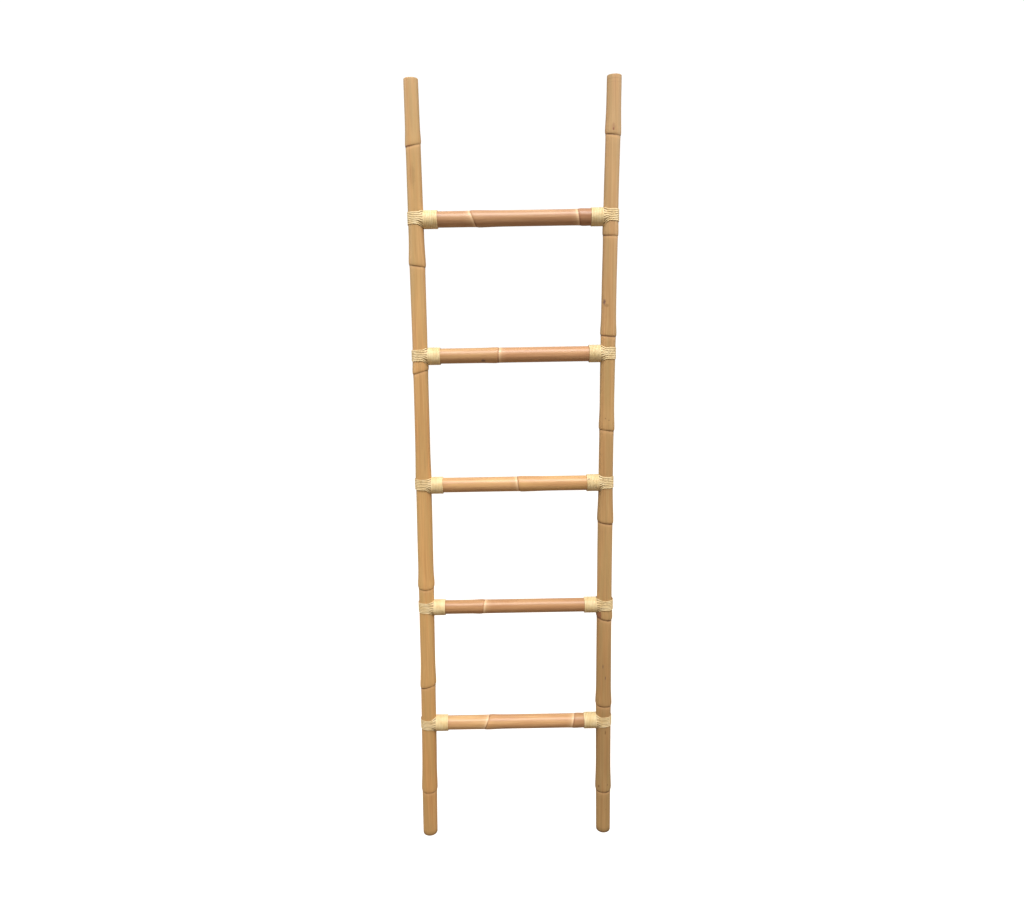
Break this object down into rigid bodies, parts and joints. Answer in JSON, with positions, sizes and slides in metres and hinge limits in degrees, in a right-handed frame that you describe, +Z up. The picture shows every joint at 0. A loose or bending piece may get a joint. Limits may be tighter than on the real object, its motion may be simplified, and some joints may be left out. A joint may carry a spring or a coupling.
{
  "type": "rattan ladder rack",
  "caption": "Leaning ladder rack of rattan poles with cane-lashed rungs, for hanging quilts, blankets and towels.",
  "frame": {"origin": "on the floor, under the middle of the rack's whole width, the rack standing upright", "axes": "+X to the right and +Y away from someone facing the rack, +Z up along the rails"},
  "size_m": [0.496, 0.0406, 1.8],
  "materials": {
    "rattan_rail": "satin, bare peeled pole with a thin clear coat",
    "rattan_rung": "semi-gloss, smoothed and clear lacquered",
    "cane_binding": "smooth split cane, satin",
    "screw_steel": "zinc plated",
    "tack_steel": "dull brown steel"
  },
  "bodies": {
    "root": {"rail_left": "rattan_rail", "rail_right": "rattan_rail", "rung_1": "rattan_rung", "rung_2": "rattan_rung", "rung_3": "rattan_rung", "rung_4": "rattan_rung", "rung_5": "rattan_rung", "screw_1_left": "screw_steel", "rail_binding_1_left": "cane_binding", "rung_collar_1_left": "cane_binding", "tack_1_left": "tack_steel", "screw_1_right": "screw_steel", "rail_binding_1_right": "cane_binding", "rung_collar_1_right": "cane_binding", "tack_1_right": "tack_steel", "screw_2_left": "screw_steel", "rail_binding_2_left": "cane_binding", "rung_collar_2_left": "cane_binding", "tack_2_left": "tack_steel", "screw_2_right": "screw_steel", "rail_binding_2_right": "cane_binding", "rung_collar_2_right": "cane_binding", "tack_2_right": "tack_steel", "screw_3_left": "screw_steel", "rail_binding_3_left": "cane_binding", "rung_collar_3_left": "cane_binding", "tack_3_left": "tack_steel", "screw_3_right": "screw_steel", "rail_binding_3_right": "cane_binding", "rung_collar_3_right": "cane_binding", "tack_3_right": "tack_steel", "screw_4_left": "screw_steel", "rail_binding_4_left": "cane_binding", "rung_collar_4_left": "cane_binding", "tack_4_left": "tack_steel", "screw_4_right": "screw_steel", "rail_binding_4_right": "cane_binding", "rung_collar_4_right": "cane_binding", "tack_4_right": "tack_steel", "screw_5_left": "screw_steel", "rail_binding_5_left": "cane_binding", "rung_collar_5_left": "cane_binding", "tack_5_left": "tack_steel", "screw_5_right": "screw_steel", "rail_binding_5_right": "cane_binding", "rung_collar_5_right": "cane_binding", "tack_5_right": "tack_steel"}
  },
  "joints": []
}
